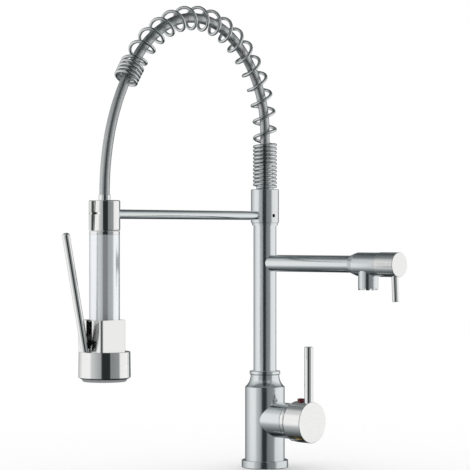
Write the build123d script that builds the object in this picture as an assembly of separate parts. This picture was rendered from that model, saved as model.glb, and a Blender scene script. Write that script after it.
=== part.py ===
from build123d import *

import os
from math import acos, atan, cos, pi, radians, sin, sqrt, tan

# A kitchen faucet with a spring arch, a docked spray head and a pot filler arm.
# Z is up. The origin is on the body's axis, at the top of the worktop.
# The spray arm reaches towards -Y. The mixer handle and the pot filler reach towards +X.
# All sizes are in millimetres.

# Gaps
run_gap = 0.05  # radial gap of a piece that turns or slides in another
free_gap = 0.3  # gap between pieces that only pass each other

# Fixing under the worktop
shank_r = 16.5
shank_wall = 3.0
shank_below = 62.0  # below the worktop's top
shank_in_body = 13.0
worktop = 30.0
gasket_r = 28.0
gasket_t = 3.0
washer_r = 27.0
washer_t = 2.5
nut_across_flats = 41.0
nut_t = 9.0
inlet_r = 4.5  # tapping size of a fine 10 mm thread
inlet_spacing = 14.0
inlet_depth = 11.0
channel_r = 2.5

# Base ring
ring_r = 26.5
ring_h = 8.2
ring_floor = 2.6
ring_seat_gap = 0.1
seal_inner_r = 19.5
seal_w = 3.5
seal_t = 1.6

# Body
body_r = 22.5
shoulder_z = 91.3
shoulder_edge = 0.4
neck_h = 18.0  # above the shoulder
neck_r = 17.4
lip_h = 3.4
waist_r = 16.4
waist_h = 0.4  # straight, between the hollow curve and the lip
socket_r = 15.0
socket_depth = 35.3

# Mixer cartridge and handle, along +X at this height
mixer_z = 54.5
boss_r = 20.0
boss_end = 39.6
cartridge_back = 8.0
cartridge_r = 14.0
cartridge_wall = 1.55
cartridge_floor = 2.5
cartridge_end = 32.9
port_r = 2.4
port_drop = 4.0
port_rise = 7.0
disc_t = 3.0
moving_disc_r = 8.6
moving_disc_t = 3.95
pocket_h = 13.0
pocket_w = 8.0
pocket_round = 2.0
nut_thread_r = 16.0
nut_bore_r = 11.0
nut_end = 44.0
cover_r = 19.6
cover_end = 50.2
tilt_centre = 28.0
spindle_w = 7.0
spindle_neck_r = 2.0
ball_r = 2.5
ball_depth = 1.1  # of the ball's centre in the moving disc
trunnion_r = 2.0
trunnion_l = 3.5
max_tilt = 16.0
knob_r = 23.0
knob_back = 48.0
knob_face = 71.6
knob_wall = 3.2
knob_cavity_end = 60.0
hub_r = 7.5
hub_start = 56.0
knob_bevel_l = 12.0
knob_bevel_rise = 2.4
lever_r = 4.9
lever_x = 66.0
lever_top_z = 139.0
lever_seat = 15.0  # of the lever's foot above the knob's axis
index_r = 4.0
index_x = 54.6
index_h = 3.2
index_stem_r = 2.6
index_seat_depth = 0.4
grub_r = 2.5
grub_l = 6.0
grub_margin = 0.9  # from the knob's cavity to the screw's hole

# Column
column_r = 13.0
column_wall = 2.0
column_foot_gap = 1.0
column_top = 306.0
seal_section_r = 1.3
column_seal_rise = (8.5, 13.5)  # of the two seals above the column's foot
lock_rise = 19.5  # of the locking groove above the column's foot
lock_depth = 1.0
lock_screw_r = 2.0
lock_tip_r = 1.7
glide_l = 9.5
lower_glide_l = 4.0

# Pot filler, along +X from the column
filler_z = 232.0
filler_tube_r = 9.4
filler_tube_wall = 1.5
filler_socket = 6.0
valve_start = 130.0
valve_nose_r = 10.3
valve_full = 138.0
valve_r = 13.0
valve_end = 169.0
valve_bore_r = 10.0
outlet_x = 151.6
outlet_r = 11.0
outlet_drop = 28.0  # of its mouth below the arm's axis
outlet_wall = 1.8
outlet_neck = 0.7  # between the arm and the aerator's shell
notch_count = 10
notch_w = 2.6
notch_h = 1.7
aerator_r = 7.5
aerator_t = 4.0
headwork_start = 141.0
headwork_wall = 1.9
headwork_floor = 1.8
spindle_r = 4.0
filler_disc_t = 2.0
filler_flange_t = 2.2
filler_knob_r = 13.4
filler_knob_end = 195.0
filler_cavity_r = 10.8
filler_cavity_end = 178.0
filler_spindle_end = 185.0
filler_lever_x = 188.3
filler_lever_r = 3.75
filler_lever_drop = 26.7  # below the knob
filler_lever_lean = 2.5
filler_lever_seat = 7.0

# Docking arm: collar, rod and clip
rod_z = 286.0
rod_r = 5.0
collar_r = 15.9
collar_bottom = 277.5
collar_top = 316.0
collar_plate = 7.0
bush_t = 0.95
bush_flange_r = 14.6
bush_flange_t = 2.7
collar_screw_azimuth = -8.6
collar_screw_recess = 1.0
spigot_wall = 0.9
spigot_h = 5.0
clip_r = 16.5
clip_wall = 4.2
clip_below = 17.6  # under the rod's axis
clip_above = 14.5
mouth_w = 21.0
mouth_flare = 0.8
clip_screw_r = 2.5
clip_screw_head_r = 4.6
clip_screw_l = 14.0

# Hose and spring. The hose rises straight, bends over in arcs, as (radius, degrees),
# and hangs straight in its ferrule. The last arc turns what is left of the half turn.
hose_r = 5.4
hose_wall = 1.9
rising_arcs = ((127.0, 55.0), (101.0, 35.0))
falling_arcs = ((101.0, 23.0), (126.0, 29.0), (227.0, 28.0))
last_arc_r = 283.0
wire_r = 1.8
coil_r = 11.9  # to the middle of the wire
foot_turns = 11.5
foot_pitch = 4.3
open_turns = 16.0
tip_turns = 4.75
tip_pitch = 4.4
spring_tip_from_end = 137.0  # along the hose, from the spring's tip to the hose's end
points_per_turn = 4
union_r = 8.6
union_bottom = 312.0
union_h = 32.0
hose_in_union = 12.0
nipple_r = 6.0
nipple_h = 14.0
water_r = 3.5
adapter_r = 12.6
adapter_flange_t = 2.4
adapter_thread = 14.0

# End of the hose: ferrule and docking cone
ferrule_r = 6.2
ferrule_above = 5.9  # above the clip
ferrule_in_cone = 8.5
hose_in_ferrule = 9.6
cone_top_r = 10.5
cone_bottom_r = 11.8
groove_h = 2.4
groove_depth = 1.6
groove_from = -74.5
groove_sweep = -95.0
groove_rise = 0.8  # of the groove above the rod's axis
spigot_r = 8.0
spigot_l = 17.0
cone_seal_r = 1.1
cone_seal_drop = 9.0  # below the clip
circlip_t = 1.2
circlip_r = 9.6
circlip_drop = 13.6  # below the clip

# Spray head, hanging on the docking cone
grip_r = 16.0
head_gap = 0.4  # between the clip and the head
grip_ring_h = 3.7
grip_l = 89.1
grip_wall = 4.0
core_wall = 1.9
core_bore_r = 5.0
core_chamber_l = 16.0
core_thread_r = 8.0
core_thread_l = 5.2
check_valve_l = 14.0
check_valve_rise = 40.0  # above the block
block_w = 37.0
block_front = 22.0  # from the head's axis
block_back = 14.0
block_h = 33.2
block_round = 3.0
slot_w = 8.7
slot_depth = 12.0
pin_inset = 4.0  # from the block's front
pin_rise = 16.0  # above the block's underside
pin_r = 1.5
pin_grip = 5.0  # beyond the slot
nozzle_top_r = 27.1
nozzle_r = 27.5
nozzle_h = 28.6
nozzle_chamfer = 1.6
nozzle_wall = 2.6
nozzle_plate = 3.4
insert_t = 15.0
insert_spigot_r = 7.0
insert_spigot_l = 8.0
face_lip = 0.7  # from the ring's bore to the face
face_groove = 0.9
face_slope = 1.8
face_below = 2.9
jet_r = 0.8
jet_counts = (6, 12, 18)  # jets in each circle
jet_circles = (6.0, 11.0, 16.0)

# Spray lever and its valve
squeeze_rod_r = 4.1
squeeze_rod_gap = 1.2  # from the block's front to the rod's foot
squeeze_lean = 12.6
squeeze_top_z = 266.0
squeeze_dome = 3.0
foot_eye_r = 4.2
foot_h = 31.0
foot_low = 4.0
foot_back = 3.5  # from the pin's axis to the foot's face
plunger_rise = 7.0  # above the pivot pin
plunger_r = 3.0
plunger_head_r = 4.2
plunger_head_t = 3.0
plunger_stem_r = 1.5
plunger_dome = 2.8
valve_chamber_r = 4.5
valve_chamber_wall = 5.0  # between the slot and the chamber
valve_chamber_back = 8.0
return_wire_r = 0.35
return_coil_r = 2.9
return_turns = 6

# Worked out from the sizes above
shank_top = ring_floor + shank_in_body
body_top = shoulder_z + neck_h
lip_z = body_top - lip_h
hollow_h = neck_h - lip_h - (neck_r - waist_r) - waist_h
hollow_turn = 2 * atan((body_r - waist_r) / hollow_h)
hollow_r = hollow_h / sin(hollow_turn)
hollow_corner_z = shoulder_z + hollow_h - (body_r - waist_r) / sin(hollow_turn)
socket_floor = body_top - socket_depth
column_foot = socket_floor + column_foot_gap
clip_bottom = rod_z - clip_below
clip_top = rod_z + clip_above
ferrule_top = clip_top + ferrule_above
hose_end_z = ferrule_top - hose_in_ferrule
hose_start_z = union_bottom + union_h - hose_in_union
head_top = clip_bottom - head_gap
grip_top = head_top - grip_ring_h
block_top = grip_top - grip_l
block_bottom = block_top - block_h
pin_y = block_front - pin_inset
pin_z = block_bottom + pin_rise
slot_back = block_front - slot_depth
foot_face_y = pin_y - foot_back
valve_chamber_front = slot_back - valve_chamber_wall
squeeze_foot_y = block_front + squeeze_rod_gap + squeeze_rod_r
nozzle_bottom = block_bottom - nozzle_h
face_r = nozzle_r - nozzle_wall - face_lip
face_edge_r = face_r - face_slope
cartridge_bore_r = cartridge_r - cartridge_wall
disc_start = cartridge_back + cartridge_floor
outlet_top = filler_z - valve_r - outlet_neck
outlet_bottom_z = filler_z - outlet_drop
grub_x = knob_cavity_end + grub_margin + grub_r
moving_disc_start = disc_start + disc_t + run_gap
moving_disc_end = moving_disc_start + moving_disc_t


def disc(radius, bottom, top):
    cylinder = Cylinder(radius, top - bottom, align=(Align.CENTER, Align.CENTER, Align.MIN))
    return Pos(0, 0, bottom) * cylinder


def pipe(outer, inner, bottom, top):
    return disc(outer, bottom, top) - disc(inner, bottom, top)


def turned(*corners):
    """A body of revolution about Z. A corner is (radius, height) or (radius, height, rounding)."""
    points = [corner[:2] for corner in corners]
    roundings = [corner[2] if len(corner) > 2 else 0 for corner in corners]
    outline = FilletPolyline(*points, radius=roundings, close=True)
    return revolve(Plane.XZ * make_face(outline), Axis.Z)


def ring_of(centre_r, section_r, height):
    """A round seal: a torus about Z."""
    return Pos(0, 0, height) * Torus(centre_r, section_r)


def along_x(height, side=0):
    """A frame whose Z runs along +X and whose X points up."""
    return Plane((0, side, height), x_dir=(0, 0, 1), z_dir=(1, 0, 0))


def along_arm(height):
    """A frame whose Z runs along -Y and whose X points up."""
    return Plane((0, 0, height), x_dir=(0, 0, 1), z_dir=(0, -1, 0))


def arch_edges(arcs, start, heading):
    """Tangent arcs in the plane of the arch, from a start point and a heading."""
    edges = []
    for radius, angle in arcs:
        arc = JernArc(start, heading, radius, -angle)
        edges.append(arc)
        start = arc @ 1
        heading = arc % 1
    return edges, start, heading


ARCH = Plane((0, 0, 0), x_dir=(0, -1, 0), z_dir=(-1, 0, 0))
turned_so_far = sum(angle for radius, angle in rising_arcs + falling_arcs)
all_falling_arcs = falling_arcs + ((last_arc_r, 180 - turned_so_far),)
trial, trial_end, trial_heading = arch_edges(rising_arcs + all_falling_arcs, (0, 0), (0, 1))
reach = trial_end.X
arch_foot_z = ferrule_top - trial_end.Y
rising, peak, peak_heading = arch_edges(rising_arcs, (0, arch_foot_z), (0, 1))
falling, ferrule_mouth, end_heading = arch_edges(all_falling_arcs, peak, peak_heading)
falling.append(Line(ferrule_mouth, (reach, hose_end_z)))
at_head = Pos(0, -reach, 0)


# Body and fixing


def faucet_body():
    outside = turned(
        (0, ring_floor),
        (body_r, ring_floor),
        (body_r, shoulder_z, shoulder_edge),
        (waist_r, hollow_corner_z, hollow_r - 2 * shoulder_edge),
        (waist_r, lip_z - neck_r + waist_r),
        (neck_r, lip_z, 0.3),
        (neck_r, body_top, 0.6),
        (0, body_top),
    )
    boss = along_x(mixer_z) * turned((0, 0), (boss_r, 0), (boss_r, boss_end, 0.5), (0, boss_end))
    body = outside + boss
    body -= disc(shank_r, 0, shank_top)
    body -= disc(socket_r, socket_floor, body_top + 1)
    channel_top = mixer_z - port_drop
    for side in (-inlet_spacing / 2, inlet_spacing / 2):
        body -= Pos(0, side, 0) * disc(inlet_r, shank_top, shank_top + inlet_depth)
        body -= Pos(0, side, 0) * disc(channel_r, shank_top, channel_top + channel_r)
        body -= along_x(channel_top, side) * disc(channel_r, 0, cartridge_back)
    body -= along_x(mixer_z + port_rise) * disc(channel_r, 0, cartridge_back)
    body -= disc(channel_r, mixer_z + port_rise, socket_floor)
    body -= along_x(mixer_z) * disc(cartridge_r + run_gap, cartridge_back, boss_end)
    body -= along_x(mixer_z) * disc(nut_thread_r, cartridge_end, boss_end + 1)
    lock_hole = Plane((0, 0, column_foot + lock_rise), z_dir=(0, 1, 0)) * disc(lock_screw_r, 0, body_r + 1)
    return body - lock_hole


def base_ring():
    ring = turned(
        (shank_r + free_gap, 0),
        (ring_r, 0, 0.4),
        (ring_r, ring_h, 0.9),
        (body_r + ring_seat_gap, ring_h),
        (body_r + ring_seat_gap, ring_floor),
        (shank_r + free_gap, ring_floor),
    )
    return ring - pipe(seal_inner_r + seal_w, seal_inner_r, 0, seal_t)


def base_seal():
    return pipe(seal_inner_r + seal_w, seal_inner_r, 0, seal_t)


def mounting_shank():
    tube = turned(
        (shank_r - shank_wall, -shank_below),
        (shank_r, -shank_below, 0.8),
        (shank_r, shank_top),
        (shank_r - shank_wall, shank_top),
    )
    return tube


def clamp_gasket():
    return pipe(gasket_r, shank_r + free_gap, -worktop - gasket_t, -worktop)


def clamp_washer():
    top = -worktop - gasket_t
    return pipe(washer_r, shank_r + free_gap, top - washer_t, top)


def clamp_nut():
    top = -worktop - gasket_t - washer_t
    hexagon = RegularPolygon(nut_across_flats / 2, 6, major_radius=False)
    nut = Pos(0, 0, top - nut_t) * extrude(hexagon, nut_t)
    return nut - disc(shank_r, top - nut_t, top)


def glide_rings():
    upper = pipe(socket_r, column_r + run_gap, body_top - glide_l, body_top - free_gap)
    lower = pipe(socket_r, column_r + run_gap, socket_floor, socket_floor + lower_glide_l)
    return Compound([upper.solid(), lower.solid()])


def column_lock_screw():
    groove_r = column_r - lock_depth
    screw = disc(lock_screw_r, column_r + free_gap, body_r - free_gap)
    screw += disc(lock_tip_r, groove_r + free_gap, column_r + free_gap)
    return Plane((0, 0, column_foot + lock_rise), z_dir=(0, 1, 0)) * screw


# Mixer: everything is turned about the boss's axis


def port_places():
    """Local places of the cold, hot and mixed ports, with local X up."""
    side = inlet_spacing / 2
    return (Pos(-port_drop, side, 0), Pos(-port_drop, -side, 0), Pos(port_rise, 0, 0))


def cartridge_housing():
    shell = disc(cartridge_r, cartridge_back, cartridge_end)
    shell -= disc(cartridge_bore_r, disc_start, cartridge_end)
    for place in port_places():
        shell -= place * disc(port_r, cartridge_back, disc_start)
        shell -= place * disc(port_r + 1.2, cartridge_back, cartridge_back + cartridge_floor / 2)
    return along_x(mixer_z) * shell


def cartridge_seals():
    seal = pipe(port_r + 1.2, port_r, cartridge_back, cartridge_back + cartridge_floor / 2)
    return Compound([(along_x(mixer_z) * (place * seal)).solid() for place in port_places()])


def fixed_disc():
    plate = disc(cartridge_bore_r, disc_start, disc_start + disc_t)
    for place in port_places():
        plate -= place * disc(port_r, disc_start, disc_start + disc_t)
    return along_x(mixer_z) * plate


def moving_disc():
    plate = disc(moving_disc_r, moving_disc_start, moving_disc_end)
    recess = extrude(RectangleRounded(pocket_h, pocket_w, pocket_round), moving_disc_t / 3)
    plate -= Pos(0, 0, moving_disc_start) * recess
    plate -= disc(ball_r + 2 * run_gap, moving_disc_end - 2 * ball_depth, moving_disc_end)
    return along_x(mixer_z) * plate


def lever_carrier():
    start = moving_disc_end + free_gap
    block = disc(cartridge_bore_r - run_gap, start, cartridge_end - free_gap)
    slot_half_w = spindle_w / 2 + free_gap
    swing = tan(radians(max_tilt)) * (tilt_centre - start)
    slot_half_h = spindle_w / 2 + swing
    slot = Box(2 * slot_half_h, 2 * slot_half_w, 2 * cartridge_end)
    block -= Pos(0, 0, tilt_centre) * slot
    bearing = Cylinder(trunnion_r + run_gap, spindle_w + 2 * trunnion_l + 2 * free_gap)
    block -= Pos(0, 0, tilt_centre) * (Rot(90, 0, 0) * bearing)
    return along_x(mixer_z) * block


def cartridge_nut():
    nut = pipe(nut_thread_r, nut_bore_r, cartridge_end, nut_end)
    return along_x(mixer_z) * nut


def cover_dome():
    shell = turned(
        (nut_thread_r, boss_end),
        (cover_r, boss_end),
        (cover_r, boss_end + 4.6, 4.5),
        (nut_bore_r + 2.2, cover_end, 1.0),
        (nut_bore_r + 0.5, cover_end),
        (nut_bore_r + 0.5, nut_end + 0.2),
        (nut_thread_r, nut_end + 0.2),
    )
    return along_x(mixer_z) * shell


def mixer_spindle():
    ball_z = moving_disc_end - ball_depth
    neck_end = tilt_centre - spindle_w / 2
    stem = disc(spindle_neck_r, ball_z, neck_end)
    ball = Pos(0, 0, ball_z) * Sphere(ball_r)
    hole_floor = moving_disc_end - 2 * ball_depth
    ball -= disc(2 * ball_r, hole_floor - ball_r, hole_floor + free_gap)
    bar_l = grub_x + grub_r + 1 - neck_end
    bar = Pos(0, 0, neck_end + bar_l / 2) * Box(spindle_w, spindle_w, bar_l)
    trunnions = Cylinder(trunnion_r, spindle_w + 2 * trunnion_l)
    bar += Pos(0, 0, tilt_centre) * (Rot(90, 0, 0) * trunnions)
    return along_x(mixer_z) * (stem + ball + bar)


def knob_cuts():
    """What is cut from the knob's blank, in its local frame."""
    cavity = disc(knob_r - knob_wall, knob_back - 1, knob_cavity_end)
    cavity -= disc(hub_r, hub_start, knob_cavity_end)
    spindle_l = grub_x + grub_r + 1 - hub_start
    socket = Pos(0, 0, hub_start + spindle_l / 2) * Box(spindle_w, spindle_w, spindle_l)
    lever_hole = Plane((0, 0, lever_x), z_dir=(1, 0, 0)) * disc(lever_r, lever_seat, knob_r + 1)
    index_place = Plane((0, 0, index_x), z_dir=(1, 0, 0))
    index_hole = index_place * disc(index_stem_r, knob_r - 2 * knob_wall, knob_r + 1)
    index_seat = index_place * disc(index_r, knob_r - index_seat_depth, knob_r + 1)
    grub_hole = Plane((0, 0, grub_x), z_dir=(-1, 0, 0)) * disc(grub_r, 0, knob_r + 1)
    return cavity, socket, lever_hole, index_hole, index_seat, grub_hole


def mixer_knob():
    blank = turned((0, knob_back), (knob_r, knob_back, 0.6), (knob_r, knob_face, 0.7), (0, knob_face))
    for cut in knob_cuts():
        blank -= cut
    slope = knob_bevel_l / knob_bevel_rise
    bevel = Polyline(
        (-knob_r - 1, knob_back - 1),
        (-knob_r - 1, knob_back + knob_bevel_l + slope),
        (-knob_r + knob_bevel_rise + 1 / slope, knob_back - 1),
        close=True,
    )
    wedge = extrude(Plane.XZ * make_face(bevel), knob_r, both=True)
    return along_x(mixer_z) * (blank - wedge)


def mixer_lever():
    pin = turned(
        (0, mixer_z + lever_seat),
        (lever_r, mixer_z + lever_seat),
        (lever_r, lever_top_z, 0.8),
        (0, lever_top_z),
    )
    return Pos(lever_x, 0, 0) * pin


def index_plug():
    rim = mixer_z + knob_r
    seat = rim - index_seat_depth
    top = rim + index_h
    cap = turned((0, seat), (index_r, seat), (index_r, top, 1.0), (0, top))
    stem = disc(index_stem_r, rim - knob_wall + free_gap, seat)
    return Pos(index_x, 0, 0) * (cap + stem)


def mixer_grub_screw():
    screw = disc(grub_r, spindle_w / 2, spindle_w / 2 + grub_l)
    screw -= Pos(0, 0, spindle_w / 2 + grub_l / 2) * extrude(RegularPolygon(1.25, 6), grub_l / 2)
    return Plane((grub_x, 0, mixer_z), z_dir=(0, 0, -1)) * screw


# Column and pot filler


def column_tube():
    tube = turned(
        (column_r - column_wall, column_foot),
        (column_r, column_foot),
        (column_r, column_top),
        (column_r - column_wall, column_top),
    )
    seal_seat_r = socket_r - 2 * seal_section_r - run_gap
    for rise in column_seal_rise:
        height = column_foot + rise
        groove = pipe(column_r + 1, seal_seat_r, height - seal_section_r - 0.2, height + seal_section_r + 0.2)
        tube -= groove
    half = lock_tip_r + free_gap
    for height in (column_foot + lock_rise, rod_z):
        tube -= pipe(column_r + 1, column_r - lock_depth, height - half, height + half)
    return tube - along_x(filler_z) * disc(filler_tube_r - filler_tube_wall, 0, column_r + 1)


def column_seals():
    centre_r = socket_r - run_gap - seal_section_r
    seals = [ring_of(centre_r, seal_section_r, column_foot + rise) for rise in column_seal_rise]
    return Compound([seal.solid() for seal in seals])


def filler_tube():
    tube = pipe(filler_tube_r, filler_tube_r - filler_tube_wall, 0, valve_start + filler_socket)
    return along_x(filler_z) * tube - disc(column_r, filler_z - valve_r, filler_z + valve_r)


def filler_valve_body():
    stub_r = outlet_r - outlet_wall
    body = along_x(filler_z) * turned(
        (0, valve_start),
        (valve_nose_r, valve_start, 0.3),
        (valve_r, valve_full, 5.0),
        (valve_r, valve_end),
        (0, valve_end),
    )
    stub_bottom = outlet_bottom_z + aerator_t + notch_h
    stub = Pos(outlet_x, 0, 0) * disc(stub_r, stub_bottom, outlet_top)
    neck = Pos(outlet_x, 0, 0) * disc(outlet_r, outlet_top, filler_z)
    body += stub + neck
    body -= along_x(filler_z) * disc(filler_tube_r, 0, valve_start + filler_socket)
    body -= along_x(filler_z) * disc(filler_tube_r - filler_tube_wall, valve_start, headwork_start)
    body -= along_x(filler_z) * disc(valve_bore_r, headwork_start, valve_end + 1)
    body -= Pos(outlet_x, 0, 0) * disc(spindle_r, stub_bottom, filler_z)
    return body


def aerator_shell():
    shell = pipe(outlet_r, outlet_r - outlet_wall, outlet_bottom_z, outlet_top)
    lip = pipe(outlet_r - outlet_wall, aerator_r, outlet_bottom_z + notch_h, outlet_bottom_z + notch_h + 1.0)
    shell += lip
    notch = Pos(outlet_r, 0, outlet_bottom_z) * Box(2 * outlet_wall + 1, notch_w, 2 * notch_h)
    for step in range(notch_count):
        shell -= Rot(0, 0, step * 360 / notch_count) * notch
    return Pos(outlet_x, 0, 0) * shell


def aerator_insert():
    bottom = outlet_bottom_z + notch_h
    insert = disc(aerator_r, bottom, bottom + aerator_t)
    insert += disc(outlet_r - outlet_wall, bottom + 1.0, bottom + aerator_t)
    spacing = 2.6
    hole = disc(0.8, bottom, bottom + aerator_t)
    for column in range(-2, 3):
        for row in range(-2, 3):
            if column * column + row * row <= 5:
                insert -= Pos(column * spacing, row * spacing, 0) * hole
    return Pos(outlet_x, 0, 0) * insert


def filler_headwork():
    inner_r = valve_bore_r - headwork_wall
    front = valve_end - headwork_wall
    shell = disc(valve_bore_r, headwork_start, valve_end)
    shell -= disc(inner_r, headwork_start + headwork_floor, front)
    shell -= disc(spindle_r + run_gap, front, valve_end)
    shell -= Pos(inner_r / 2, 0, 0) * disc(channel_r, headwork_start, headwork_start + headwork_floor)
    shell = along_x(filler_z) * shell
    return shell - Pos(outlet_x, 0, 0) * disc(channel_r, filler_z - valve_bore_r - 1, filler_z)


def filler_disc():
    start = headwork_start + headwork_floor + run_gap
    plate = disc(valve_bore_r - headwork_wall - run_gap, start, start + filler_disc_t)
    plate -= Pos(valve_bore_r / 2, 0, 0) * disc(channel_r, start, start + filler_disc_t)
    return along_x(filler_z) * plate


def filler_spindle():
    start = headwork_start + headwork_floor + run_gap + filler_disc_t
    spindle = disc(spindle_r, start, filler_spindle_end)
    spindle += disc(valve_bore_r - headwork_wall - run_gap, start, start + filler_flange_t)
    return along_x(filler_z) * spindle


def filler_knob():
    start = valve_end + free_gap
    knob = turned(
        (0, start),
        (filler_knob_r, start, 0.3),
        (filler_knob_r, filler_knob_end, 0.6),
        (0, filler_knob_end),
    )
    knob -= disc(filler_cavity_r, start, filler_cavity_end)
    knob -= disc(spindle_r, filler_cavity_end, filler_spindle_end)
    knob = along_x(filler_z) * knob
    return knob - filler_lever()


def filler_lever():
    length = filler_lever_drop + filler_lever_seat
    pin = turned((0, 0), (filler_lever_r, 0), (filler_lever_r, length, 0.6), (0, length))
    lean = radians(filler_lever_lean)
    direction = (sin(lean), 0, -cos(lean))
    start = (filler_lever_x, 0, filler_z - filler_knob_r + filler_lever_seat)
    return Plane(start, z_dir=direction) * pin


def hose_adapter():
    top = column_top + adapter_flange_t
    adapter = disc(column_r - column_wall, column_top - adapter_thread, column_top)
    adapter += disc(adapter_r, column_top, top)
    adapter += disc(nipple_r, top, top + nipple_h)
    return adapter - disc(water_r, column_top - adapter_thread, top + nipple_h)


# Docking arm


def collar_screw_frame():
    angle = radians(collar_screw_azimuth)
    return Plane((0, 0, rod_z), z_dir=(cos(angle), sin(angle), 0))


def dock_collar():
    bore_r = column_r + bush_t + run_gap
    union_hole_r = union_r + free_gap
    collar = turned(
        (bore_r, collar_bottom),
        (collar_r, collar_bottom, 0.8),
        (collar_r, collar_top, 0.9),
        (union_hole_r + spigot_wall, collar_top),
        (union_hole_r + spigot_wall, collar_top + spigot_h),
        (union_hole_r, collar_top + spigot_h),
        (union_hole_r, collar_top - collar_plate),
        (bore_r, collar_top - collar_plate),
    )
    return collar - collar_screw_frame() * disc(lock_screw_r, column_r, collar_r + 1)


def collar_bush():
    bore_r = column_r + run_gap
    outer_r = bore_r + bush_t
    bush = pipe(outer_r, bore_r, collar_bottom, collar_top - collar_plate - free_gap)
    bush += pipe(bush_flange_r, bore_r, collar_bottom - bush_flange_t, collar_bottom)
    return bush - collar_screw_frame() * disc(lock_screw_r, 0, collar_r)


def collar_set_screw():
    screw = disc(lock_screw_r, column_r + free_gap, collar_r - collar_screw_recess)
    screw += disc(lock_tip_r, column_r - lock_depth + free_gap, column_r + free_gap)
    return collar_screw_frame() * screw


def docking_rod():
    rod = along_arm(rod_z) * disc(rod_r, 0, reach)
    rod -= disc(collar_r, rod_z - 2 * rod_r, rod_z + 2 * rod_r)
    rod -= at_head * disc(clip_r, rod_z - 2 * rod_r, rod_z + 2 * rod_r)
    return rod - clip_screw()


def dock_clip():
    bore_r = clip_r - clip_wall
    ring = turned(
        (bore_r, clip_bottom, 0.5),
        (clip_r, clip_bottom, 1.5),
        (clip_r, clip_top, 1.5),
        (bore_r, clip_top, 0.5),
    )
    half = mouth_w / 2
    mouth = Polyline(
        (-half + mouth_flare, 0),
        (-half - mouth_flare, -clip_r - 1),
        (half + mouth_flare, -clip_r - 1),
        (half - mouth_flare, 0),
        close=True,
    )
    cut = Pos(0, 0, clip_bottom - 1) * extrude(make_face(mouth), clip_top - clip_bottom + 2)
    return at_head * (ring - cut) - clip_screw()


def clip_screw():
    """A countersunk screw from inside the clip into the end of the rod."""
    head_y = reach - (clip_r - clip_wall) - 0.3
    cone_h = clip_screw_head_r - clip_screw_r
    screw = turned(
        (0, head_y),
        (clip_screw_head_r, head_y),
        (clip_screw_r, head_y - cone_h),
        (clip_screw_r, head_y - clip_screw_l),
        (0, head_y - clip_screw_l),
    )
    screw -= Pos(0, 0, head_y - 1.2) * extrude(RegularPolygon(1.5, 6), 1.2)
    return along_arm(rod_z) * screw


# Hose and spring


def tube_along(edges, outer, inner):
    path = ARCH * Wire(edges)
    section = Circle(outer) - Circle(inner)
    start = Plane(path @ 0, z_dir=path % 0)
    return sweep(start * section, path=path)


def hose_rise():
    foot = Line((0, hose_start_z), (0, arch_foot_z))
    return tube_along([foot] + rising, hose_r, hose_r - hose_wall)


def hose_drop():
    return tube_along(falling, hose_r, hose_r - hose_wall)


def hose_union():
    """The crimped sleeve that turns on the adapter's nipple."""
    top = union_bottom + union_h
    nipple_top = column_top + adapter_flange_t + nipple_h
    sleeve = turned((0, union_bottom), (union_r, union_bottom), (union_r, top, 0.8), (0, top))
    sleeve -= disc(nipple_r + run_gap, union_bottom, nipple_top + free_gap)
    sleeve -= disc(water_r, union_bottom, hose_start_z)
    return sleeve - disc(hose_r, hose_start_z, top)


def arc_middle(start, heading, end):
    """The middle point of the arc that leaves start along heading and ends at end."""
    chord = end - start
    along = chord.normalized()
    turn = acos(min(1.0, heading.dot(along)))
    if turn < 1e-6:
        return start + chord * 0.5
    aside = (heading - along * cos(turn)).normalized()
    return start + chord * 0.5 + aside * (chord.length / 2 * tan(turn / 2))


def two_arcs(start, start_heading, end, end_heading):
    """A pair of arcs, tangent to each other and to both headings."""
    chord = end - start
    headings = start_heading + end_heading
    spread = 2 * (1 - start_heading.dot(end_heading))
    reach_out = sqrt(chord.dot(headings) ** 2 + spread * chord.dot(chord)) - chord.dot(headings)
    joint = (start + end + (start_heading - end_heading) * (reach_out / spread)) * 0.5
    first = ThreePointArc(start, arc_middle(start, start_heading, joint), joint)
    second = ThreePointArc(joint, arc_middle(end, end_heading * -1, joint), end)
    return [first, second]


def arch_spring():
    foot = Line((0, collar_top + wire_r), (0, arch_foot_z))
    path = ARCH * Wire([foot] + rising + falling)
    open_length = path.length - spring_tip_from_end - foot_turns * foot_pitch - tip_turns * tip_pitch
    stretches = (
        (foot_turns, foot_pitch),
        (open_turns, open_length / open_turns),
        (tip_turns, tip_pitch),
    )

    def on_coil(distance, turns):
        centre = path.position_at(distance, PositionMode.LENGTH)
        heading = path.tangent_at(distance, PositionMode.LENGTH)
        side = Vector(1, 0, 0)
        up = side.cross(heading)
        angle = 2 * pi * turns
        return centre + (up * cos(angle) + side * sin(angle)) * coil_r

    places = []
    distance = 0.0
    turns = 0.0
    for count, pitch in stretches:
        for step in range(round(count * points_per_turn)):
            places.append((distance, turns, pitch))
            distance += pitch / points_per_turn
            turns += 1 / points_per_turn
    places.append((distance, turns, tip_pitch))

    points = [on_coil(distance, turns) for distance, turns, pitch in places]
    small = 0.001
    headings = []
    for index, (distance, turns, pitch) in enumerate(places):
        before = places[max(index - 1, 0)][2]
        mean_pitch = (before + pitch) / 2
        ahead = on_coil(distance + small, turns + small / mean_pitch)
        headings.append((ahead - points[index]).normalized())
    edges = []
    for index in range(len(points) - 1):
        edges += two_arcs(points[index], headings[index], points[index + 1], headings[index + 1])
    wire = Wire(edges)
    return sweep(Plane(points[0], z_dir=headings[0]) * Circle(wire_r), path=wire)


# End of the hose


def hose_ferrule():
    bottom = clip_top - ferrule_in_cone
    ferrule = turned((0, bottom), (ferrule_r, bottom), (ferrule_r, ferrule_top, 0.6), (0, ferrule_top))
    ferrule -= disc(hose_r + run_gap, hose_end_z - free_gap, ferrule_top)
    return at_head * (ferrule - disc(water_r, bottom, hose_end_z))


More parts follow.
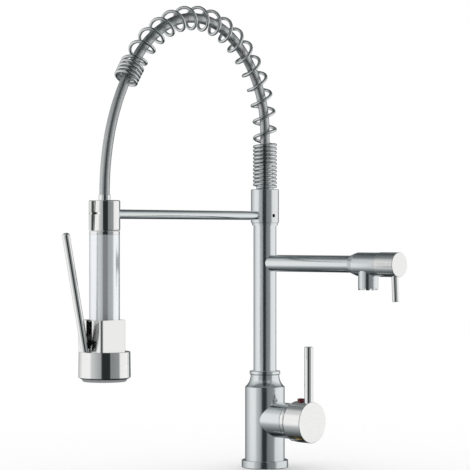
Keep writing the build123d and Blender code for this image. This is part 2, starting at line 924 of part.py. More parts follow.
def dock_cone():
    floor = clip_top - ferrule_in_cone
    bottom = clip_bottom - 0.1
    cone = turned(
        (0, bottom - spigot_l),
        (spigot_r, bottom - spigot_l, 0.5),
        (spigot_r, bottom),
        (cone_bottom_r, bottom, 0.4),
        (cone_top_r, clip_top, 0.8),
        (0, clip_top),
    )
    cone -= disc(ferrule_r, floor, clip_top)
    cone -= disc(water_r, bottom - spigot_l, floor)
    seal_z = clip_bottom - cone_seal_drop
    seat_r = spigot_r - 2 * cone_seal_r
    cone -= pipe(spigot_r + 1, seat_r, seal_z - cone_seal_r - 0.2, seal_z + cone_seal_r + 0.2)
    clip_z = clip_bottom - circlip_drop
    cone -= pipe(spigot_r + 1, spigot_r - 1.4, clip_z - circlip_t, clip_z)
    groove_z = rod_z + groove_rise
    inner_r = cone_top_r - groove_depth
    arc_face = Rot(0, 0, groove_from) * (Plane.XZ * (Pos(inner_r + 3, groove_z) * Rectangle(6, groove_h)))
    cone -= revolve(arc_face, Axis.Z, groove_sweep)
    angle = radians(groove_from)
    eye = Plane((0, 0, groove_z), z_dir=(cos(angle), sin(angle), 0))
    cone -= eye * disc(groove_h * 0.65, inner_r, cone_bottom_r + 1)
    return at_head * cone


def cone_seal():
    return at_head * ring_of(spigot_r - cone_seal_r, cone_seal_r, clip_bottom - cone_seal_drop)


def swivel_circlip():
    top = clip_bottom - circlip_drop
    ring = pipe(circlip_r, spigot_r - 1.4, top - circlip_t, top)
    gap = Pos(-circlip_r, 0, top) * Box(2 * circlip_r, 4.0, 4 * circlip_t)
    return at_head * (ring - gap)


# Spray head


def grip_ring():
    ring = turned(
        (spigot_r + free_gap, grip_top),
        (grip_r, grip_top, 0.3),
        (grip_r, head_top, 0.5),
        (spigot_r + free_gap, head_top),
    )
    return at_head * ring


def grip_sleeve():
    return at_head * pipe(grip_r, grip_r - grip_wall, block_top, grip_top)


def grip_core():
    step_z = clip_bottom - circlip_drop + free_gap
    core = disc(grip_r - grip_wall, block_top, grip_top)
    core += disc(core_thread_r, block_top - core_thread_l, block_top)
    core -= disc(spigot_r + run_gap, step_z, grip_top)
    core -= disc(grip_r - grip_wall - core_wall, step_z - core_chamber_l, step_z)
    return at_head * (core - disc(core_bore_r, block_top - core_thread_l, step_z))


def check_valve():
    bottom = block_top + check_valve_rise
    shell = pipe(core_bore_r, core_bore_r - 1.2, bottom, bottom + check_valve_l)
    disc_part = disc(core_bore_r - 1.2, bottom + check_valve_l / 2, bottom + check_valve_l / 2 + 1.5)
    ribs = Box(1.4, 2 * core_bore_r - 2.0, 1.5) + Box(2 * core_bore_r - 2.0, 1.4, 1.5)
    web = Pos(0, 0, bottom + check_valve_l / 2) * ribs
    return at_head * (shell + (disc_part - disc(core_bore_r - 2.2, bottom, bottom + check_valve_l)) + web)


def spray_block():
    chamber_z = pin_z + plunger_rise
    plan = RectangleRounded(block_w, block_front + block_back, block_round)
    block = Pos(0, (block_back - block_front) / 2, block_bottom) * extrude(plan, block_h)
    slot = Box(slot_w, slot_depth + 1, block_h + 2, align=(Align.CENTER, Align.MAX, Align.MIN))
    block -= Pos(0, -slot_back, block_bottom - 1) * slot
    block -= disc(core_thread_r, block_top - core_thread_l, block_top)
    forward = Plane((0, 0, chamber_z), z_dir=(0, -1, 0))
    block -= forward * disc(valve_chamber_r, -valve_chamber_back, valve_chamber_front)
    block -= forward * disc(plunger_r + run_gap, 0, slot_back + 1)
    block -= Pos(0, core_bore_r - channel_r, 0) * disc(channel_r, chamber_z, block_top - core_thread_l)
    block -= Pos(0, -channel_r, 0) * disc(channel_r, block_bottom, chamber_z)
    block -= disc(insert_spigot_r, block_bottom, block_bottom + insert_spigot_l)
    return at_head * block - pivot_pin()


def pivot_pin():
    """It goes in from the -X side, across the slot, and ends inside the block."""
    pin = Plane((0, -pin_y, pin_z), z_dir=(1, 0, 0)) * disc(pin_r, -block_w / 2, slot_w / 2 + pin_grip)
    return at_head * pin


def nozzle_ring():
    inner_r = nozzle_r - nozzle_wall
    shell = turned(
        (insert_spigot_r, block_bottom),
        (nozzle_top_r, block_bottom, 0.7),
        (nozzle_r, nozzle_bottom + nozzle_chamfer, 0.3),
        (inner_r, nozzle_bottom),
        (inner_r, block_bottom - nozzle_plate),
        (insert_spigot_r, block_bottom - nozzle_plate),
    )
    return at_head * shell


def nozzle_insert():
    top = block_bottom - nozzle_plate
    insert = disc(nozzle_r - nozzle_wall, top - insert_t, top)
    insert += disc(insert_spigot_r, top, block_bottom + insert_spigot_l)
    insert -= disc(insert_spigot_r - 1.6, top - insert_t + 3, block_bottom + insert_spigot_l)
    insert -= disc(face_r - 3.0, top - insert_t, top - insert_t + 3)
    return at_head * insert


def spray_face():
    top = block_bottom - nozzle_plate - insert_t
    bottom = nozzle_bottom - face_below
    face = turned(
        (0, bottom),
        (face_edge_r, bottom, 1.0),
        (face_r, nozzle_bottom),
        (face_r, nozzle_bottom + face_groove),
        (nozzle_r - nozzle_wall, nozzle_bottom + face_groove),
        (nozzle_r - nozzle_wall, top),
        (0, top),
    )
    face -= disc(face_r - 3.0, bottom + 3.0, top)
    face -= disc(3.0, bottom, top)
    for count, circle_r in zip(jet_counts, jet_circles):
        for step in range(count):
            angle = 2 * pi * step / count
            face -= Pos(circle_r * cos(angle), circle_r * sin(angle), 0) * disc(jet_r, bottom, top)
    return at_head * face


# Spray lever and its valve


def squeeze_line(height):
    """How far the lever's axis is from the head's axis at a height."""
    return squeeze_foot_y + (height - block_bottom) * tan(radians(squeeze_lean))


def squeeze_rod():
    lean = radians(squeeze_lean)
    direction = (0, -sin(lean), cos(lean))
    start = (0, -squeeze_line(block_bottom - squeeze_rod_r), block_bottom - squeeze_rod_r)
    length = (squeeze_top_z - block_bottom + squeeze_rod_r) / cos(lean)
    rod = turned((0, 0), (squeeze_rod_r, 0), (squeeze_rod_r, length, squeeze_dome), (0, length))
    rod = Plane(start, z_dir=direction) * rod
    deep = 8 * squeeze_rod_r
    under = Box(deep, 4 * squeeze_foot_y, deep, align=(Align.CENTER, Align.CENTER, Align.MAX))
    return at_head * (rod - Pos(0, 0, block_bottom + head_gap) * under)


def lever_foot():
    low = block_bottom + foot_low
    high = block_bottom + foot_h
    side = Polyline(
        (-foot_face_y, pin_z),
        (-foot_face_y, high),
        (-squeeze_line(high), high),
        (-squeeze_line(low), low),
        (-squeeze_line(low) + squeeze_rod_r, low),
        (-pin_y, pin_z - foot_eye_r),
        close=True,
    )
    profile = Plane.YZ * make_face(side)
    width = slot_w - 2 * free_gap
    foot = extrude(profile, width / 2, both=True)
    foot += Pos(0, -pin_y, pin_z) * (Rot(0, 90, 0) * Cylinder(pin_y - foot_face_y, width))
    foot -= Pos(0, -pin_y, pin_z) * (Rot(0, 90, 0) * Cylinder(pin_r + run_gap, width + 2))
    return at_head * foot - squeeze_rod()


def valve_plunger():
    forward = Plane((0, 0, pin_z + plunger_rise), z_dir=(0, -1, 0))
    head_front = valve_chamber_front - 0.5
    head_back = head_front - plunger_head_t
    plunger = turned(
        (0, -2.0),
        (plunger_stem_r, -2.0),
        (plunger_stem_r, head_back),
        (plunger_head_r, head_back),
        (plunger_head_r, head_front),
        (plunger_r, head_front),
        (plunger_r, foot_face_y - free_gap, plunger_dome),
        (0, foot_face_y - free_gap),
    )
    return at_head * (forward * plunger)


def plunger_spring():
    back = -valve_chamber_back + return_wire_r
    front = valve_chamber_front - 0.5 - plunger_head_t - return_wire_r
    coil = Helix((front - back) / return_turns, front - back, return_coil_r)
    spring = sweep(Plane(coil @ 0, z_dir=coil % 0) * Circle(return_wire_r), path=coil)
    forward = Plane((0, 0, pin_z + plunger_rise), z_dir=(0, -1, 0))
    return at_head * (forward * (Pos(0, 0, back) * spring))


pieces = (
    faucet_body,
    base_ring,
    base_seal,
    mounting_shank,
    clamp_gasket,
    clamp_washer,
    clamp_nut,
    glide_rings,
    column_lock_screw,
    cartridge_housing,
    cartridge_seals,
    fixed_disc,
    cartridge_nut,
    cover_dome,
    lever_carrier,
    moving_disc,
    mixer_spindle,
    mixer_knob,
    mixer_lever,
    index_plug,
    mixer_grub_screw,
    column_tube,
    column_seals,
    filler_tube,
    filler_valve_body,
    aerator_shell,
    aerator_insert,
    filler_headwork,
    filler_disc,
    filler_spindle,
    filler_knob,
    filler_lever,
    hose_adapter,
    dock_collar,
    collar_bush,
    collar_set_screw,
    docking_rod,
    dock_clip,
    clip_screw,
    hose_union,
    hose_rise,
    hose_drop,
    arch_spring,
    hose_ferrule,
    dock_cone,
    cone_seal,
    swivel_circlip,
    grip_ring,
    grip_sleeve,
    grip_core,
    check_valve,
    spray_block,
    pivot_pin,
    nozzle_ring,
    nozzle_insert,
    spray_face,
    squeeze_rod,
    lever_foot,
    valve_plunger,
    plunger_spring,
)

os.makedirs("parts", exist_ok=True)
for piece in pieces:
    export_step(piece(), f"parts/{piece.__name__}.step")
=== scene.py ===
from math import cos, pi, radians, sin

import bmesh
import bpy
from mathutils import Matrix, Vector


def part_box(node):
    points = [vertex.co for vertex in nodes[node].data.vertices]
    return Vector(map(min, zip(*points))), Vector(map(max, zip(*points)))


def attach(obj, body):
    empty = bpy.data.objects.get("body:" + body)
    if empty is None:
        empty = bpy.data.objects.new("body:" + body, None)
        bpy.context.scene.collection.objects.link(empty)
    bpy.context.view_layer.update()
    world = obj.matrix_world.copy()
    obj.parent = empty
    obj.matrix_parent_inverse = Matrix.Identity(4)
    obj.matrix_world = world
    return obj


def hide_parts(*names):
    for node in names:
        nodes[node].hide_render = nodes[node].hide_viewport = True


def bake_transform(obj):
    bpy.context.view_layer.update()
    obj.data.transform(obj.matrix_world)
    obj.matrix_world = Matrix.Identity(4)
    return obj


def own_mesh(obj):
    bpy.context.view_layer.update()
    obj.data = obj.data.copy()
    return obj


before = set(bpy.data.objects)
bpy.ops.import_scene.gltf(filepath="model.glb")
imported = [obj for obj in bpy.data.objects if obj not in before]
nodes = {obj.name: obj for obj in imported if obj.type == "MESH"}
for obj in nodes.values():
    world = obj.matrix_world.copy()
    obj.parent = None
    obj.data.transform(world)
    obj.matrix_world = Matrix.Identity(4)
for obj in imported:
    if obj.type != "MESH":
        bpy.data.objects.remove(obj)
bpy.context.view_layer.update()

# The hose's route in the plane of the arch. It rises from the collar, bends over in these arcs, as
# (radius, degrees), and goes straight down into its ferrule.
ARCH_ARCS = ((0.127, 55.0), (0.101, 58.0), (0.126, 29.0), (0.227, 28.0), (0.283, 10.0))
ROUTE_STEP_DEGREES = 1.0
HOSE_RADIUS = 0.0054
HOSE_ABOVE_COLLAR = 0.016
SPIGOT_HEIGHT = 0.005
HOSE_IN_FERRULE = 0.0096
HOSE_SIDES = 32
HOSE_STEP = 0.0015

# The hose's braid: the strands that wind each way, and the length in which one winds once round
STRANDS = 14.0
STRAND_PITCH = 0.0165
THREADS_PER_STRAND = 5.0

# The spring round the hose, with its sizes in metres and its coils in turns
SPRING = {
    "Wire radius": 0.0018,
    "Coil radius": 0.0119,
    "Start": 0.0018,
    "Close turns at foot": 11.5,
    "Pitch at foot": 0.0043,
    "Open turns": 16.0,
    "Close turns at tip": 4.75,
    "Pitch at tip": 0.0044,
    "Tip to hose end": 0.137,
}
WIRE_SIDES = 14
STEPS_PER_TURN = 28

# A bar's face crosses its map's seam if its middle lies this far, in turns, past one of its corners
SEAM_JUMP = 0.3
# An edge that bends more than this stays sharp
SHARP_DEGREES = 50.0

# The spray valve's spring
VALVE_WIRE_RADIUS = 0.00035
VALVE_WIRE_SIDES = 8
VALVE_TURNS = 6.0
VALVE_STEPS_PER_TURN = 24

# The spray lever's rocker seen from the side, in metres outwards and up from its pin: a finger
# behind the plunger, an eye round the pin, and an arm down to the rod
ROCKER = (
    (-0.0035, 0.0),
    (-0.0035, 0.0142),
    (-0.0028, 0.0150),
    (-0.0014, 0.0150),
    (-0.0008, 0.0142),
    (-0.0008, 0.0046),
    (0.0006, 0.0036),
    (0.0024, 0.0024),
    (0.0034, 0.0006),
    (0.0034, -0.0030),
    (0.0117, -0.0052),
    (0.0102, -0.0120),
    (0.0064, -0.0120),
    (0.0016, -0.0042),
    (-0.0020, -0.0034),
)
ROCKER_HALF_WIDTH = 0.00405
ROCKER_BEVEL = 0.0003
ROCKER_BORE_RADIUS = 0.0017
ROCKER_BORE_STEP_DEGREES = 12
ROCKER_SHARP_DEGREES = 30.0
ROCKER_MERGE_DISTANCE = 0.00001

# Rims of the jets, in circles round the spray face's middle
JET_COUNTS = (6, 12, 18)
JET_CIRCLES = (0.006, 0.011, 0.016)
RIM_RADIUS = 0.00125
RIM_SIDES = 16
LIP_RADIUS = 0.0004
LIP_SIDES = 8

# The thread that is cut on the shank
THREAD = {"Low": -0.0612, "Length": 0.0602, "Turns": 40.0, "Radius": 0.01605, "Ridge": 0.0007}
THREAD_STEPS_PER_TURN = 48
RIDGE_SIDES = 4

# Camera, from the photograph: the column's axis is right of the picture's middle
CAMERA_AZIMUTH = 43.0
CAMERA_DISTANCE = 2.28
CAMERA_HEIGHT = 0.264
COLUMN_RIGHT_OF_MIDDLE = 0.0341
FOCAL_PIXELS = 2000.0
PICTURE_PIXELS = 470.0
SENSOR_MILLIMETRES = 36.0
CAMERA_SEES_FROM = 0.05

# The floor lies just under the base, so that their faces don't share a plane
FLOOR_RADIUS = 9.0
FLOOR_SIDES = 96
FLOOR_HEIGHT = -0.0004


class Value:
    """A socket of a node tree that can stand in a sum."""

    def __init__(self, graph, socket):
        self.graph = graph
        self.socket = socket

    def maths(self, operation, *others):
        return self.graph.maths(operation, self, *others)

    def __add__(self, other):
        return self.maths("ADD", other)

    def __sub__(self, other):
        return self.maths("SUBTRACT", other)

    def __mul__(self, other):
        return self.maths("MULTIPLY", other)

    def __truediv__(self, other):
        return self.maths("DIVIDE", other)

    def __rsub__(self, other):
        return self.graph.maths("SUBTRACT", other, self)

    def __rtruediv__(self, other):
        return self.graph.maths("DIVIDE", other, self)

    __radd__ = __add__
    __rmul__ = __mul__

    def between(self, low, high):
        """0 below low, 1 above high, and smooth between them."""
        settings = {"interpolation_type": "SMOOTHSTEP"}
        inputs = {"Value": self, 1: low, 2: high}
        return self.graph.add("ShaderNodeMapRange", settings, inputs)["Result"]


class Graph:
    """A node tree, whose nodes are added by type, settings and inputs."""

    def __init__(self, tree):
        self.tree = tree

    def add(self, kind, settings=None, inputs=None):
        node = self.tree.nodes.new(kind)
        for name, value in (settings or {}).items():
            setattr(node, name, value)
        for key, value in (inputs or {}).items():
            if isinstance(value, Value):
                self.tree.links.new(value.socket, node.inputs[key])
            else:
                node.inputs[key].default_value = value
        return Outputs(self, node)

    def maths(self, operation, *values):
        settings = {"operation": operation}
        return self.add("ShaderNodeMath", settings, dict(enumerate(values)))["Value"]

    def vector_maths(self, operation, *values):
        settings = {"operation": operation}
        return self.add("ShaderNodeVectorMath", settings, dict(enumerate(values)))[0]

    def scaled(self, vector, factor):
        settings = {"operation": "SCALE"}
        return self.add("ShaderNodeVectorMath", settings, {0: vector, "Scale": factor})[0]

    def mix(self, share, first, second):
        """A colour between two others."""
        settings = {"data_type": "RGBA"}
        return self.add("ShaderNodeMix", settings, {0: share, 6: first, 7: second})[2]

    def parts(self, vector):
        node = self.add("ShaderNodeSeparateXYZ", None, {0: vector})
        return node[0], node[1], node[2]

    def vector(self, x, y, z):
        return self.add("ShaderNodeCombineXYZ", None, {0: x, 1: y, 2: z})[0]


class Outputs:
    """The outputs of a node, by name or place."""

    def __init__(self, graph, node):
        self.graph = graph
        self.node = node

    def __getitem__(self, key):
        return Value(self.graph, self.node.outputs[key])


def grey(level):
    return (level, level, level, 1.0)


def new_object(name, data):
    """An object in the scene."""
    thing = bpy.data.objects.new(name, data)
    bpy.context.scene.collection.objects.link(thing)
    return thing


def mesh_of(thing):
    """What an object's modifiers or curves make, as a plain mesh."""
    evaluated = thing.evaluated_get(bpy.context.evaluated_depsgraph_get())
    return bpy.data.meshes.new_from_object(evaluated)


def smooth(mesh, sharp_degrees):
    """Rounds a mesh's shading over every edge that bends less than this."""
    mesh.shade_smooth()
    mesh.set_sharp_from_angle(angle=radians(sharp_degrees))


# Finishes


class Finish(Graph):
    """A material with one Principled shader, and the object's own coordinates at hand."""

    def __init__(self, name, **constants):
        self.material = bpy.data.materials.new(name)
        self.material.use_nodes = True
        super().__init__(self.material.node_tree)
        self.shader = self.tree.nodes["Principled BSDF"]
        for socket, value in constants.items():
            self.shader.inputs[socket.replace("_", " ")].default_value = value
        self.place = self.add("ShaderNodeTexCoord")["Object"]

    def noise(self, scale, detail=2.0, roughness=0.5, at=None, stretch=None):
        """Noise from 0 to 1. stretch scales X, Y and Z before the noise is read."""
        where = at or self.place
        if stretch:
            where = self.vector_maths("MULTIPLY", where, stretch)
        inputs = {"Vector": where, "Scale": scale, "Detail": detail, "Roughness": roughness}
        return self.add("ShaderNodeTexNoise", None, inputs)[0]

    def give(self, socket, value):
        self.tree.links.new(value.socket, self.shader.inputs[socket])

    def bump(self, height, distance, strength):
        inputs = {"Height": height, "Distance": distance, "Strength": strength}
        self.give("Normal", self.add("ShaderNodeBump", None, inputs)["Normal"])


def brushed(name, colour, roughness, along):
    """Metal with fine lines round it. along is the axis of the turned piece: X, Y or Z."""
    finish = Finish(name, Metallic=1.0, Anisotropic=0.4)
    across, fine = 12.0, 2600.0
    stretch = tuple(fine if axis == along else across for axis in "XYZ")
    lines = finish.noise(scale=1.0, detail=3.0, roughness=0.7, stretch=stretch)
    cloud = finish.noise(scale=38.0)
    finish.give("Base Color", finish.mix(lines * 0.5 + cloud * 0.3, colour[0], colour[1]))
    finish.give("Roughness", roughness - 0.05 + lines * 0.08 + cloud * 0.04)
    finish.bump(lines, distance=0.00002, strength=0.25)
    return finish.material


def polished(name, colour, roughness):
    """Chrome with faint waves from the casting and faint wipe marks."""
    finish = Finish(name, Metallic=1.0)
    waves = finish.noise(scale=55.0, detail=1.0)
    marks = finish.noise(scale=140.0, detail=4.0, roughness=0.7, stretch=(1.0, 1.0, 3.0))
    finish.give("Base Color", finish.mix(marks.between(0.35, 0.75), colour[0], colour[1]))
    finish.give("Roughness", roughness + marks.between(0.5, 0.8) * 0.05)
    finish.bump(waves, distance=0.00004, strength=0.08)
    return finish.material


def pearl():
    """Silver-white pearl lacquer over plastic."""
    finish = Finish("pearl_lacquer", Metallic=0.78, Coat_Roughness=0.06)
    flakes = finish.noise(scale=5200.0)
    cloud = finish.noise(scale=30.0)
    light, deep = (0.93, 0.95, 0.98, 1.0), (0.85, 0.88, 0.92, 1.0)
    depth = flakes.between(0.35, 0.7) * 0.6 + cloud * 0.3
    finish.give("Base Color", finish.mix(depth, light, deep))
    finish.give("Roughness", 0.12 + flakes * 0.06)
    finish.give("Coat Weight", 0.25 + cloud * 0.1)
    finish.bump(flakes, distance=0.00001, strength=0.2)
    return finish.material


def wire(name, colour, roughness):
    """Drawn spring wire: fine lines run along it, read from its own UV map."""
    finish = Finish(name, Metallic=1.0)
    along = finish.add("ShaderNodeUVMap", {"uv_map": "Route"})["UV"]
    stretch = (46.0, 60.0, 1.0)
    lines = finish.noise(scale=1.0, detail=3.0, roughness=0.6, at=along, stretch=stretch)
    cloud = finish.noise(scale=120.0)
    finish.give("Base Color", finish.mix(lines * 0.6 + cloud * 0.3, colour[0], colour[1]))
    finish.give("Roughness", roughness + lines * 0.06)
    finish.bump(lines, distance=0.00001, strength=0.15)
    return finish.material


def braid():
    """Two sets of flat bright strands that wind round the hose and cross over and under, with painted
    shade and painted highlights in their colour.
    """
    finish = Finish("stainless_braid", Metallic=1.0)
    route = finish.add("ShaderNodeUVMap", {"uv_map": "Route"})["UV"]
    around, along = finish.parts(route)[:2]
    right = (around + along / STRAND_PITCH) * STRANDS
    left = (around - along / STRAND_PITCH) * STRANDS

    def rib(count):
        """1 in the middle of a strand and 0 at its edge."""
        return 1.0 - (count.maths("FRACT") - 0.5).maths("ABSOLUTE") * 2.0

    def threads(count):
        """The round threads side by side in a strand, as a wave from 0 to 1."""
        return (count * THREADS_PER_STRAND * 2.0 * pi).maths("SINE") * 0.5 + 0.5

    over = ((right + left).maths("FLOOR") * 0.5).maths("FRACT") * 2.0
    right_rib = rib(right)
    left_rib = rib(left)
    upper = right_rib * over + left_rib * (1.0 - over)
    lower = left_rib * over + right_rib * (1.0 - over)
    # grain lightens each round thread along its middle: a painted highlight in the colour, and a real
    # ridge in the bump.
    grain = threads(right) * over + threads(left) * (1.0 - over)
    edge = upper.between(0.0, 0.28)
    height = edge * 0.75 + upper * 0.25 + (1.0 - edge) * lower * 0.3
    # Painted light: the strand that runs under a crossing gets painted shade, the gaps between
    # strands are painted dark as shade, and the top strand carries the painted thread highlight.
    painted_light_level = edge * (0.62 + grain * 0.38) + (1.0 - edge) * lower * 0.25
    dark, bright = (0.05, 0.055, 0.055, 1.0), (0.74, 0.76, 0.76, 1.0)
    finish.give("Base Color", finish.mix(painted_light_level, dark, bright))
    finish.give("Roughness", 0.3 - edge * 0.14)
    finish.bump(height + grain * 0.12, distance=0.0002, strength=0.6)
    return finish.material


def moulded(name, colour, roughness, grain):
    """Plastic or rubber with a fine moulded grain."""
    finish = Finish(name)
    speck = finish.noise(scale=grain, detail=3.0, roughness=0.6)
    cloud = finish.noise(scale=60.0)
    lighter = tuple(min(1.0, part * 1.18 + 0.01) for part in colour[:3]) + (1.0,)
    finish.give("Base Color", finish.mix(speck * 0.5 + cloud * 0.5, colour, lighter))
    finish.give("Roughness", roughness - 0.06 + speck * 0.12)
    finish.bump(speck, distance=0.00005, strength=0.3)
    return finish.material


def ceramic():
    """Fine off-white ceramic, lapped flat."""
    finish = Finish("lapped_ceramic", Roughness=0.16)
    speck = finish.noise(scale=1500.0)
    warm, light = (0.87, 0.85, 0.8, 1.0), (0.93, 0.92, 0.88, 1.0)
    finish.give("Base Color", finish.mix(speck, warm, light))
    finish.give("Coat Weight", 0.3 + speck * 0.1)
    finish.bump(speck, distance=0.00001, strength=0.2)
    return finish.material


# Colours of the metals, each as the two shades that its finish varies between
NICKEL = ((0.72, 0.75, 0.76, 1.0), (0.79, 0.82, 0.83, 1.0))
CHROME = ((0.86, 0.86, 0.85, 1.0), (0.90, 0.90, 0.89, 1.0))
STEEL = ((0.50, 0.50, 0.50, 1.0), (0.62, 0.62, 0.61, 1.0))
WIRE = ((0.66, 0.68, 0.68, 1.0), (0.77, 0.79, 0.79, 1.0))
BRASS = ((0.62, 0.45, 0.20, 1.0), (0.78, 0.60, 0.32, 1.0))
BLACKENED = ((0.015, 0.015, 0.016, 1.0), (0.04, 0.04, 0.042, 1.0))

finishes = {
    "nickel_upright": brushed("brushed_nickel_upright", NICKEL, 0.16, "Z"),
    "nickel_sideways": brushed("brushed_nickel_sideways", NICKEL, 0.18, "X"),
    "nickel_arm": brushed("brushed_nickel_arm", NICKEL, 0.14, "Y"),
    "chrome": polished("polished_chrome", CHROME, 0.035),
    "satin_chrome": brushed("satin_chrome", CHROME, 0.18, "X"),
    "block_chrome": brushed("block_chrome", CHROME, 0.14, "Z"),
    "steel": brushed("turned_steel", STEEL, 0.28, "Z"),
    "brass": brushed("turned_brass", BRASS, 0.26, "Z"),
    "blackened": brushed("blackened_steel", BLACKENED, 0.4, "Z"),
    "wire": wire("spring_wire", WIRE, 0.1),
    "braid": braid(),
    "pearl": pearl(),
    "white_plastic": moulded("white_acetal", (0.80, 0.80, 0.77, 1.0), 0.42, 900.0),
    "black_rubber": moulded("black_rubber", (0.018, 0.018, 0.019, 1.0), 0.62, 1400.0),
    "grey_rubber": moulded("grey_rubber", (0.24, 0.25, 0.26, 1.0), 0.5, 1400.0),
    "red": moulded("dark_red_button", (0.085, 0.004, 0.009, 1.0), 0.14, 2000.0),
    "ceramic": ceramic(),
}

# The pieces that wear each finish
worn_by = {
    "nickel_upright": (
        "faucet_body",
        "base_ring",
        "column_tube",
        "dock_collar",
        "collar_bush",
        "aerator_shell",
    ),
    "nickel_sideways": ("filler_tube", "filler_valve_body"),
    "nickel_arm": ("docking_rod",),
    "satin_chrome": ("filler_knob",),
    "block_chrome": ("spray_block",),
    "chrome": (
        "cover_dome",
        "mixer_knob",
        "mixer_lever",
        "filler_lever",
        "dock_clip",
        "dock_cone",
        "hose_ferrule",
        "hose_union",
        "grip_ring",
        "nozzle_ring",
        "squeeze_rod",
        "lever_foot",
    ),
    "steel": (
        "mixer_spindle",
        "mixer_grub_screw",
        "column_lock_screw",
        "clip_screw",
        "swivel_circlip",
        "pivot_pin",
        "clamp_washer",
        "plunger_spring",
    ),
    "brass": (
        "mounting_shank",
        "clamp_nut",
        "cartridge_nut",
        "filler_headwork",
        "filler_spindle",
        "hose_adapter",
        "grip_core",
        "valve_plunger",
    ),
    "blackened": ("collar_set_screw",),
    "wire": ("arch_spring",),
    "braid": ("hose_rise", "hose_drop"),
    "pearl": ("grip_sleeve",),
    "white_plastic": (
        "glide_rings",
        "cartridge_housing",
        "lever_carrier",
        "aerator_insert",
        "check_valve",
        "nozzle_insert",
    ),
    "black_rubber": (
        "base_seal",
        "clamp_gasket",
        "cartridge_seals",
        "column_seals",
        "cone_seal",
    ),
    "grey_rubber": ("spray_face",),
    "red": ("index_plug",),
    "ceramic": ("fixed_disc", "moving_disc", "filler_disc"),
}

for finish, names in worn_by.items():
    for name in names:
        mesh = nodes[name].data
        mesh.materials.clear()
        mesh.materials.append(finishes[finish])


# Hose and spring, which follow one route


def hose_route():
    """The hose's centreline, from the collar's shoulder to its end in the ferrule."""
    collar_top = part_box("dock_collar")[1].z - SPIGOT_HEIGHT
    ferrule_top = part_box("hose_ferrule")[1].z
    bends = [(0.0, 0.0)]
    heading = 0.0
    for radius, degrees in ARCH_ARCS:
        out, up = bends[-1]
        centre_out = out + radius * cos(heading)
        centre_up = up - radius * sin(heading)
        steps = round(degrees / ROUTE_STEP_DEGREES)
        for step in range(1, steps + 1):
            turn = heading + radians(degrees) * step / steps
            bends.append((centre_out - radius * cos(turn), centre_up + radius * sin(turn)))
        heading += radians(degrees)
    lift = ferrule_top - bends[-1][1]
    route = [Vector((0.0, 0.0, collar_top))]
    route += [Vector((0.0, -out, up + lift)) for out, up in bends]
    route.append(Vector((0.0, -bends[-1][0], ferrule_top - HOSE_IN_FERRULE)))
    return route


class Builder(Graph):
    """A Geometry Nodes tree with named sizes. Its piece may start from the points of a route."""

    def __init__(self, name, sizes, finish, points=()):
        super().__init__(bpy.data.node_groups.new(name, "GeometryNodeTree"))
        self.name = name
        self.finish = finish
        self.points = points
        self.identifiers = {}
        self.sizes = sizes
        face = self.tree.interface
        face.new_socket("Geometry", in_out="OUTPUT", socket_type="NodeSocketGeometry")
        face.new_socket("Geometry", in_out="INPUT", socket_type="NodeSocketGeometry")
        for size in sizes:
            socket = face.new_socket(size, in_out="INPUT", socket_type="NodeSocketFloat")
            self.identifiers[size] = socket.identifier
        self.given = self.add("NodeGroupInput")
        if points:
            self.route = self.curve(self.given["Geometry"])

    def store(self, geometry, name, value, domain="POINT", kind="FLOAT"):
        settings = {"data_type": kind, "domain": domain}
        inputs = {"Geometry": geometry, "Name": name, "Value": value}
        return self.add("GeometryNodeStoreNamedAttribute", settings, inputs)[0]

    def read(self, name):
        settings = {"data_type": "FLOAT"}
        return self.add("GeometryNodeInputNamedAttribute", settings, {"Name": name})[0]

    def curve(self, line):
        return self.add("GeometryNodeMeshToCurve", None, {0: line})[0]

    def length(self, curve):
        return self.add("GeometryNodeCurveLength", None, {0: curve})[0]

    def circle(self, radius, sides):
        inputs = {"Radius": radius, "Resolution": sides}
        return self.add("GeometryNodeCurvePrimitiveCircle", {"mode": "RADIUS"}, inputs)[0]

    def bar(self, curve, profile):
        inputs = {"Curve": curve, "Profile Curve": profile, "Fill Caps": True}
        return self.add("GeometryNodeCurveToMesh", None, inputs)[0]

    def moved(self, geometry, **inputs):
        return self.add("GeometryNodeTransform", None, {"Geometry": geometry, **inputs})[0]

    def helix(self, steps_per_turn, bar_radius, bar_sides):
        """A round bar wound up Z, with the tree's own turns, radius and length."""
        radius = self.given["Radius"]
        inputs = {
            "Resolution": steps_per_turn,
            "Rotations": self.given["Turns"],
            "Start Radius": radius,
            "End Radius": radius,
            "Height": self.given["Length"],
        }
        spiral = self.add("GeometryNodeCurveSpiral", None, inputs)[0]
        return self.bar(spiral, self.circle(bar_radius, bar_sides))

    def swept(self, curve, radius, sides):
        """A closed round bar along a curve. Its UV map holds turns round it and metres along it."""
        parameter = self.add("GeometryNodeSplineParameter")
        profile = self.store(self.circle(radius, sides), "around", parameter["Factor"])
        bar = self.bar(self.store(curve, "along", parameter["Length"]), profile)
        around = self.read("around")
        settings = {"data_type": "FLOAT", "domain": "FACE"}
        middle = self.add("GeometryNodeFieldOnDomain", settings, {0: around})[0]
        past_seam = self.maths("GREATER_THAN", middle - around, SEAM_JUMP)
        route = self.vector(around + past_seam, self.read("along"), 0.0)
        bar = self.store(bar, "Route", route, "CORNER", "FLOAT2")
        for name in ("around", "along"):
            inputs = {"Geometry": bar, "Name": name}
            bar = self.add("GeometryNodeRemoveAttribute", None, inputs)[0]
        return bar

    def piece(self, geometry):
        """Ends the tree, and returns what it makes as a plain mesh object."""
        solid = self.add("GeometryNodeRealizeInstances", None, {0: geometry})[0]
        inputs = {"Geometry": solid, "Material": self.finish}
        worn = self.add("GeometryNodeSetMaterial", None, inputs)[0]
        self.add("NodeGroupOutput", None, {0: worn})
        mesh = bpy.data.meshes.new(self.name)
        edges = [(start, start + 1) for start in range(len(self.points) - 1)]
        mesh.from_pydata(self.points, edges, [])
        thing = new_object(self.name, mesh)
        modifier = thing.modifiers.new("shape", "NODES")
        modifier.node_group = self.tree
        for size, value in self.sizes.items():
            modifier[self.identifiers[size]] = value
        plain = mesh_of(thing)
        thing.modifiers.remove(modifier)
        thing.data = plain
        smooth(plain, SHARP_DEGREES)
        return thing


